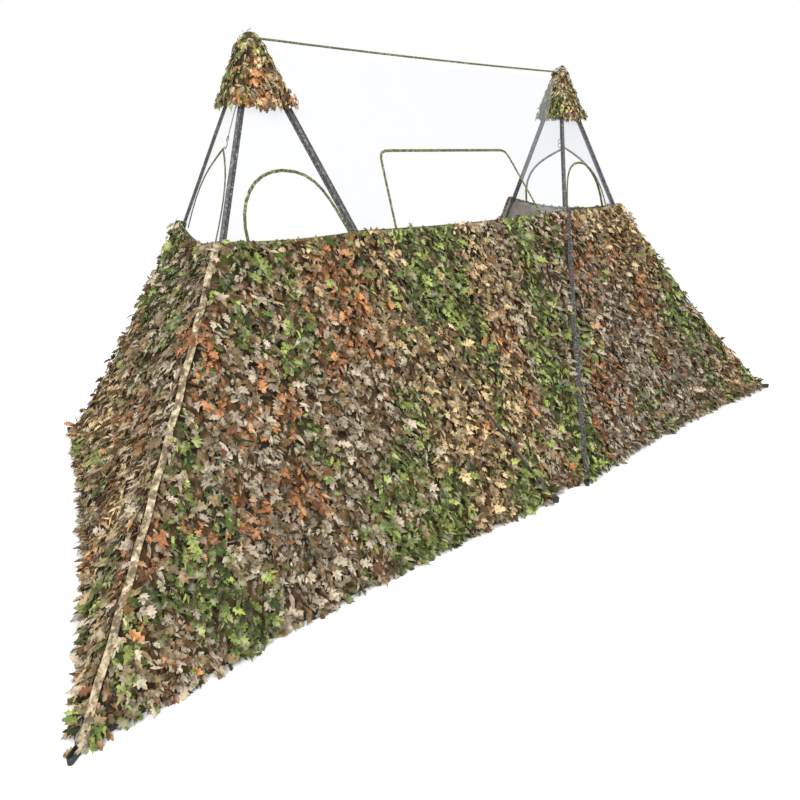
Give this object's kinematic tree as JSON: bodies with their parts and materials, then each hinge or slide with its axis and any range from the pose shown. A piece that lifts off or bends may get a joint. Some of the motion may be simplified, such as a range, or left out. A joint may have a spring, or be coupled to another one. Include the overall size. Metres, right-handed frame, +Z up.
{
  "type": "pop up ground blind",
  "caption": "Free-standing camouflage ground blind: leaning pole tripods joined by a ridge, see-through mesh windows above a waist-high rail and leafy skirts staked out below.",
  "frame": {"origin": "on the ground at the centre of the blind's bounding box", "axes": "+X along the long front from its left tripod to its right one, +Y towards the open back, +Z up"},
  "size_m": [4.0858, 2.0259, 1.703],
  "materials": {
    "pole": "black fibreglass, satin",
    "rubber": "matt",
    "plastic": "black nylon",
    "webbing": "woven black webbing",
    "steel": "zinc plated",
    "leaf": "printed camouflage cloth with cut leaves",
    "mesh": "see-through netting",
    "cord": "braided cord"
  },
  "bodies": {
    "frame": {"left_middle_upper_pole": "pole", "left_middle_lower_pole": "pole", "left_middle_foot_tip": "rubber", "left_middle_skirt_clip": "plastic", "left_middle_stake_loop": "webbing", "right_middle_upper_pole": "pole", "right_middle_lower_pole": "pole", "right_middle_foot_tip": "rubber", "right_middle_skirt_clip": "plastic", "right_middle_stake_loop": "webbing", "middle_mesh": "mesh", "middle_skirt": "leaf", "ridge_tape": "leaf"},
    "left_back_leg": {"left_back_upper_pole": "pole", "left_back_lower_pole": "pole", "left_back_foot_tip": "rubber", "left_back_skirt_clip": "plastic", "left_back_stake_loop": "webbing", "left_end_mesh": "mesh", "left_end_skirt": "leaf"},
    "left_hub": {"left_back_hinge_pin": "steel", "left_corner_hinge_pin": "steel", "left_middle_hinge_pin": "steel", "left_hub": "plastic", "left_cap": "leaf"},
    "left_corner_leg": {"left_corner_upper_pole": "pole", "left_corner_lower_pole": "pole", "left_corner_foot_tip": "rubber", "left_corner_skirt_clip": "plastic", "left_corner_stake_loop": "webbing", "left_front_mesh": "mesh", "left_front_skirt": "leaf"},
    "left_hook": {"left_hook_cord": "cord", "left_s_hook": "steel"},
    "right_back_leg": {"right_back_upper_pole": "pole", "right_back_lower_pole": "pole", "right_back_foot_tip": "rubber", "right_back_skirt_clip": "plastic", "right_back_stake_loop": "webbing", "right_end_mesh": "mesh", "right_end_skirt": "leaf"},
    "right_hub": {"right_back_hinge_pin": "steel", "right_corner_hinge_pin": "steel", "right_middle_hinge_pin": "steel", "right_hub": "plastic", "right_cap": "leaf"},
    "right_corner_leg": {"right_corner_upper_pole": "pole", "right_corner_lower_pole": "pole", "right_corner_foot_tip": "rubber", "right_corner_skirt_clip": "plastic", "right_corner_stake_loop": "webbing", "right_front_mesh": "mesh", "right_front_skirt": "leaf"},
    "right_hook": {"right_hook_cord": "cord", "right_s_hook": "steel"}
  },
  "joints": [
    {"name": "left_fold", "type": "hinge", "parent": "frame", "child": "left_hub", "pos_m": [-0.87401, -0.15065, 1.62987], "axis": [-0.7457, -0.6662, 0], "range_deg": [0, 27], "deforming": ["left_end_mesh", "left_end_skirt", "left_front_mesh", "left_front_skirt", "left_cap"]},
    {"name": "left_back_leg_fold", "type": "hinge", "parent": "left_hub", "child": "left_back_leg", "pos_m": [-0.9042, -0.10007, 1.62987], "axis": [-0.9404, -0.3402, 0], "range_deg": [0, 27]},
    {"name": "left_corner_leg_fold", "type": "hinge", "parent": "left_hub", "child": "left_corner_leg", "pos_m": [-0.91785, -0.14648, 1.62987], "axis": [0.6066, -0.795, 0], "range_deg": [0, 27]},
    {"name": "left_hook_swing", "type": "hinge", "parent": "left_hub", "child": "left_hook", "pos_m": [-0.90551, -0.1249, 1.61137], "axis": [-0.2821, -0.9594, 0], "range_deg": [0, 17.03]},
    {"name": "right_fold", "type": "hinge", "parent": "frame", "child": "right_hub", "pos_m": [0.87401, -0.15065, 1.62987], "axis": [-0.7457, 0.6662, 0], "range_deg": [0, 27], "deforming": ["right_end_mesh", "right_end_skirt", "right_front_mesh", "right_front_skirt", "right_cap"]},
    {"name": "right_back_leg_fold", "type": "hinge", "parent": "right_hub", "child": "right_back_leg", "pos_m": [0.9042, -0.10007, 1.62987], "axis": [-0.9404, 0.3402, 0], "range_deg": [0, 27]},
    {"name": "right_corner_leg_fold", "type": "hinge", "parent": "right_hub", "child": "right_corner_leg", "pos_m": [0.91785, -0.14648, 1.62987], "axis": [0.6066, 0.795, 0], "range_deg": [0, 27]},
    {"name": "right_hook_swing", "type": "hinge", "parent": "right_hub", "child": "right_hook", "pos_m": [0.90551, -0.1249, 1.61137], "axis": [-0.2821, 0.9594, 0], "range_deg": [0, 17.03]}
  ],
  "couplings": [
    {"joint": "left_back_leg_fold", "follows": "left_fold", "ratio": 1},
    {"joint": "left_corner_leg_fold", "follows": "left_fold", "ratio": 1},
    {"joint": "left_hook_swing", "follows": "left_fold", "ratio": 0.6272},
    {"joint": "right_back_leg_fold", "follows": "right_fold", "ratio": 1},
    {"joint": "right_corner_leg_fold", "follows": "right_fold", "ratio": 1},
    {"joint": "right_hook_swing", "follows": "right_fold", "ratio": 0.6272}
  ]
}
